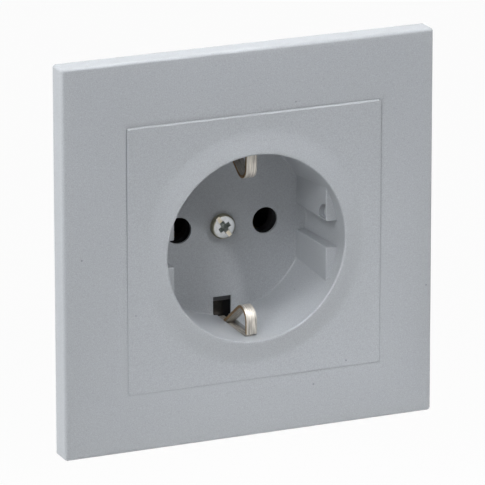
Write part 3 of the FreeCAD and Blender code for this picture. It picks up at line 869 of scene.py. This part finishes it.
w.join(w.maths("ADD", given["Gloss"], spread), made["Roughness"])
w.join(lines.outputs["Fac"], made["Height"])
print("drawn_metal nodes:", len(drawn.nodes))

# %% [markdown]
# The strip is plated, and its cut edges show the brown of the metal inside. The screw is zinc
# plated. Its rim is painted dark olive as a painted reflection, the floor of its slot pale yellow as a
# painted highlight, and its cross recess dark greenish as painted shade. A plated surface that has
# gone dull is less than fully metallic, which the last value says.

# %% The metals
def metal(name, bright, dull, gloss, spread, stretch, bump, bare=1.0):
    values = {"Bright": bright, "Dull": dull, "Gloss": gloss, "Spread": spread}
    material = group_material(name, drawn, values, bump, stretch)
    shader_of(material).inputs["Metallic"].default_value = bare
    return material


plated_strip = metal(
    "plated_strip", (0.72, 0.68, 0.61, 1), (0.22, 0.21, 0.2, 1), 0.5, 0.35, (7000, 330, 330), 0.6, bare=0.7
)
cut_edge = metal(
    "cut_edge", (0.5, 0.33, 0.16, 1), (0.26, 0.16, 0.08, 1), 0.4, 0.2, (2500, 2500, 2500), 0.4
)
# Painted shade: the strip behind the floor is painted near black, standing in for the shade there.
strip_painted_shade = metal(
    "strip_painted_shade", (0.05, 0.045, 0.04, 1), (0.02, 0.02, 0.02, 1), 0.6, 0.2, (900, 900, 900), 0.3
)
bright_zinc = metal(
    "bright_zinc", (0.83, 0.84, 0.82, 1), (0.62, 0.6, 0.52, 1), 0.28, 0.2, (1500, 1500, 1500), 0.3
)
head_zinc = metal(
    "head_zinc", (0.56, 0.58, 0.6, 1), (0.44, 0.45, 0.45, 1), 0.42, 0.2, (1500, 1500, 1500), 0.3
)
# Painted shade: the cross recess of the screw is painted dark greenish.
recess_painted_shade = metal(
    "recess_painted_shade", (0.42, 0.46, 0.43, 1), (0.14, 0.16, 0.15, 1), 0.45, 0.2, (2500, 2500, 2500), 0.4,
    bare=0.4,
)
# Painted highlight: the floor of the screw's slot is painted pale yellow.
slot_painted_highlight = metal(
    "slot_painted_highlight", (0.92, 0.85, 0.8, 1), (0.86, 0.78, 0.54, 1), 0.4, 0.2, (1200, 1200, 1200), 0.3, bare=0.3
)
# Painted reflection: the rim of the screw head is painted dark olive.
rim_painted_reflection = metal(
    "rim_painted_reflection", (0.42, 0.4, 0.31, 1), (0.26, 0.24, 0.17, 1), 0.4, 0.2, (1200, 1200, 1200), 0.3, bare=0.7
)
sheet_zinc = metal(
    "sheet_zinc", (0.66, 0.67, 0.67, 1), (0.5, 0.5, 0.47, 1), 0.36, 0.25, (500, 2000, 2500), 0.3
)
# The brass is painted darker than clean brass, a painted shade, so the contacts deep in the pin holes look
# dark.
brass_painted_shade = metal(
    "stamped_brass", (0.36, 0.27, 0.14, 1), (0.2, 0.145, 0.07, 1), 0.28, 0.25, (600, 2500, 600), 0.3
)
spring_steel = metal(
    "spring_steel", (0.62, 0.63, 0.65, 1), (0.42, 0.42, 0.44, 1), 0.25, 0.25, (4000, 500, 500), 0.3
)
print("materials in all:", len(bpy.data.materials))

# %% [markdown]
# Every new piece gets its finishes and its body, and the CAD node it stands for is hidden. Each
# row also lists the slot of the record that it takes its finish from, which the code does not use.
# The insert step stands for no node, so it only gets its finish and rides on the body.

# %% Dress the new pieces
def give(piece, materials):
    piece.data.materials.clear()
    for material in materials:
        piece.data.materials.append(material)


dress = [
    (frame_shell, "cover_frame", "grey_plastic", [grey_plastic]),
    (plate_shell, "centre_plate", "grey_plastic", [grey_plastic]),
    (earth_clips, "earth_bracket", "plated_strip", [plated_strip, cut_edge, strip_painted_shade]),
    (screw, "centre_screw", "zinc_steel", [head_zinc, recess_painted_shade, slot_painted_highlight, rim_painted_reflection]),
]
for piece, node, slot_name, materials in dress:
    give(piece, materials)
    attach(piece, "socket")
    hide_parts(node)
give(slot_step, [step_plastic])
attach(slot_step, "socket")
print("new pieces:", [row[0].name for row in dress] + [slot_step.name])

# %% [markdown]
# Some faces differ from the rest of their piece. On the strip, the faces that look sideways are
# cut edges, and what lies behind the floor is painted near black as painted shade. On the screw,
# the recess gets painted shade, the floor of the slot a painted highlight and the rim a painted
# reflection. Like the meshes, these are picked by place.

# %% Cut edges, and faces with painted shade, highlight and reflection
PAINTED_SHADE_BEHIND, RECESS_REACH, RECESS_FROM, RIM_REACH, RIM_FROM = 10.2, 1.75, 0.12, 2.3, 0.2
for face in earth_clips.data.polygons:
    face.material_index = 1 if abs(face.normal.x) > FACING else 0
    # Painted shade: faces of the strip behind the floor get the near-black finish.
    if face.center.y > PAINTED_SHADE_BEHIND * MM:
        face.material_index = 2
# On the screw, the recess gets painted shade, the slot floor a painted highlight and the rim a painted
# reflection.
for face in screw.data.polygons:
    depth = face.center.y / MM - HEAD_FRONT
    reach = math.hypot(face.center.x, face.center.z) / MM
    if reach < RECESS_REACH and depth > RECESS_FROM:
        face.material_index = 1
    elif near(depth, SLOT_DEPTH, 0.03) and face.normal.y < -FACING:
        face.material_index = 2
    elif reach > RIM_REACH and depth > RIM_FROM:
        face.material_index = 3
print("faces of the screw in each finish:",
      [sum(face.material_index == i for face in screw.data.polygons) for i in range(4)])

# %% [markdown]
# The rest of the insert is shown as its CAD solids: they keep their shape and only get a finish.
# CAD edges are perfectly sharp, which looks wrong in light, so the mouldings at the back get a
# Bevel modifier. It rounds what is seen and leaves the solid's own mesh alone.

# %% Dress the CAD solids
SOFT_MOULDING, SOFT_LEVER = 0.3, 0.2
cad_finish = {
    "support_ring": sheet_zinc,
    "ring_rivets": bright_zinc,
    "bracket_nut": bright_zinc,
    "cover_screws": bright_zinc,
    "socket_base": dark_plastic,
    "rear_cover": dark_plastic,
    "live_contact": brass_painted_shade,
    "neutral_contact": brass_painted_shade,
    "earth_busbar": brass_painted_shade,
}
soft_edges = {"socket_base": SOFT_MOULDING, "rear_cover": SOFT_MOULDING}
for pole in ("live", "neutral", "earth"):
    cad_finish[pole + "_spring_a"] = spring_steel
    cad_finish[pole + "_spring_b"] = spring_steel
    cad_finish[pole + "_lever"] = lever_plastic
    soft_edges[pole + "_lever"] = SOFT_LEVER
for node, material in cad_finish.items():
    give(nodes[node], [material])
for node, width in soft_edges.items():
    soften(nodes[node], "soft_edges", width, 40)
print("finished CAD nodes:", sorted(cad_finish))

# %% [markdown]
# The stage is a pale floor some way below, since the socket hangs on a wall, and a white world.
# Light Path tells what kind of ray meets them. To the camera and in reflections both show
# white, while to other rays the floor is plain matt and the world is almost dark, so the
# lamps alone shape the object and the floor still takes its shadow.

# %% Floor and world
FLOOR_SIZE, FLOOR_Z, FLOOR_TONE, FLOOR_ROUGH, FLOOR_GLOW = 6, -0.10, (0.85, 0.85, 0.85, 1), 0.9, 0.95
WORLD_LIGHT = 0.02


def seen_or_mirrored(tree):
    rays = tree.node("ShaderNodeLightPath").outputs
    glossy = tree.maths("MAXIMUM", rays["Is Camera Ray"], rays["Is Glossy Ray"])
    return tree.maths("MAXIMUM", glossy, rays["Is Transmission Ray"])


let_go()
bpy.ops.mesh.primitive_plane_add(size=FLOOR_SIZE, location=(0, 0, FLOOR_Z))
floor = bpy.context.object
floor.name = "floor"
floor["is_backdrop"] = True
pale = bpy.data.materials.new("pale_floor")
pale.use_nodes = True
tree = Wiring(pale.node_tree)
matt = shader_of(pale)
matt.inputs["Base Color"].default_value = FLOOR_TONE
matt.inputs["Roughness"].default_value = FLOOR_ROUGH
glow = tree.node("ShaderNodeEmission")
mix = tree.node("ShaderNodeMixShader")
tree.join(tree.maths("MULTIPLY", seen_or_mirrored(tree), FLOOR_GLOW), mix.inputs[0])
tree.join(matt.outputs[0], mix.inputs[1])
tree.join(glow.outputs[0], mix.inputs[2])
tree.join(mix.outputs[0], pale.node_tree.nodes["Material Output"].inputs["Surface"])
give(floor, [pale])
world = bpy.data.worlds.new("studio")
bpy.context.scene.world = world
world.use_nodes = True
tree = Wiring(world.node_tree)
sky = world.node_tree.nodes["Background"]
sky.inputs["Color"].default_value = (1, 1, 1, 1)
level = tree.maths("MULTIPLY", seen_or_mirrored(tree), 1 - WORLD_LIGHT)
tree.join(tree.maths("ADD", level, WORLD_LIGHT), sky.inputs["Strength"])
print("floor at", FLOOR_Z, "m, world light", WORLD_LIGHT)

# %% [markdown]
# The light is soft and comes mostly from the left, with a small key on the right that draws the
# shadows in the well. Close to the object, four weak lamps with a narrow spread, like boxes with
# a grid in front, lift single places, such as the frame's top side and the floor of the well.

# %% Lamps
OPEN = 180
lamps = [
    # Name, place and aim in metres, size, watts, spread in degrees.
    ("left_back_box", (-2.298, 0.899, 0.4), (0, 0, 0), (1.6, 1.6), 59.8, OPEN),
    ("left_front_box", (-1.886, -1.564, 0.496), (0, 0, 0), (1.2, 1.2), 11.2, OPEN),
    ("left_top_box", (-1.501, -1.126, 1.652), (0, 0, 0), (1.4, 1.0), 8.5, OPEN),
    ("right_key", (1.3, -1.55, 1.47), (0, 0, 0), (0.15, 0.15), 18.0, OPEN),
    ("top_grid_box", (0.043, -0.114, 0.35), (0.02, 0, -0.085), (0.2, 0.08), 0.0448, 34),
    ("front_grid_box", (0.076, -0.298, 0.224), (0.03, 0, -0.11), (0.12, 0.08), 0.0155, 32),
    ("left_grid_box", (-0.24, -0.225, 0.24), (0.06, 0, -0.09), (0.12, 0.12), 0.0303, 34),
    ("top_strip_box", (0.0, 0.036, 0.218), (0, 0.01, 0.0), (0.3, 0.05), 0.1161, 70),
]
for name, place, aim, size, watts, spread in lamps:
    light = bpy.data.lights.new(name, "AREA")
    light.shape = "RECTANGLE"
    light.size, light.size_y = size
    light.energy = watts
    light.spread = math.radians(spread)
    lamp = bpy.data.objects.new(name, light)
    bpy.context.scene.collection.objects.link(lamp)
    lamp.location = place
    lamp.rotation_mode = "QUATERNION"
    lamp.rotation_quaternion = (Vector(aim) - Vector(place)).to_track_quat("-Z", "Y")
print("lamps:", len(lamps))

# %% [markdown]
# The camera stands to the left and a little above, far off with a long lens, since the
# photograph's edges hardly converge. Its place is given by azimuth, elevation and distance,
# because these can be read off the shapes in the picture one by one.

# %% Camera
AZIMUTH, ELEVATION = math.radians(-23.81), math.radians(16.74)
DISTANCE, LENS, SENSOR = 1.0845, 401.6, 36
aim = Vector((0.00026, 0, -0.00093))
flat = math.cos(ELEVATION)
back = Vector((math.sin(AZIMUTH) * flat, -math.cos(AZIMUTH) * flat, math.sin(ELEVATION)))
camera_data = bpy.data.cameras.new("camera")
camera_data.lens = LENS
camera_data.sensor_width = SENSOR
camera = bpy.data.objects.new("camera", camera_data)
bpy.context.scene.collection.objects.link(camera)
camera.location = aim + back * DISTANCE
camera.rotation_mode = "QUATERNION"
camera.rotation_quaternion = (-back).to_track_quat("-Z", "Y")
bpy.context.scene.camera = camera
bpy.context.scene.view_settings.view_transform = "Standard"
print("camera at", list(camera.location))

# %% [markdown]
# Last, the size: the box of the dressed model is printed. Dressing a part must not change its
# dimensions.

# %% Sizes and finish
low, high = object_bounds()
print("dressed box in metres:", list(low), list(high))
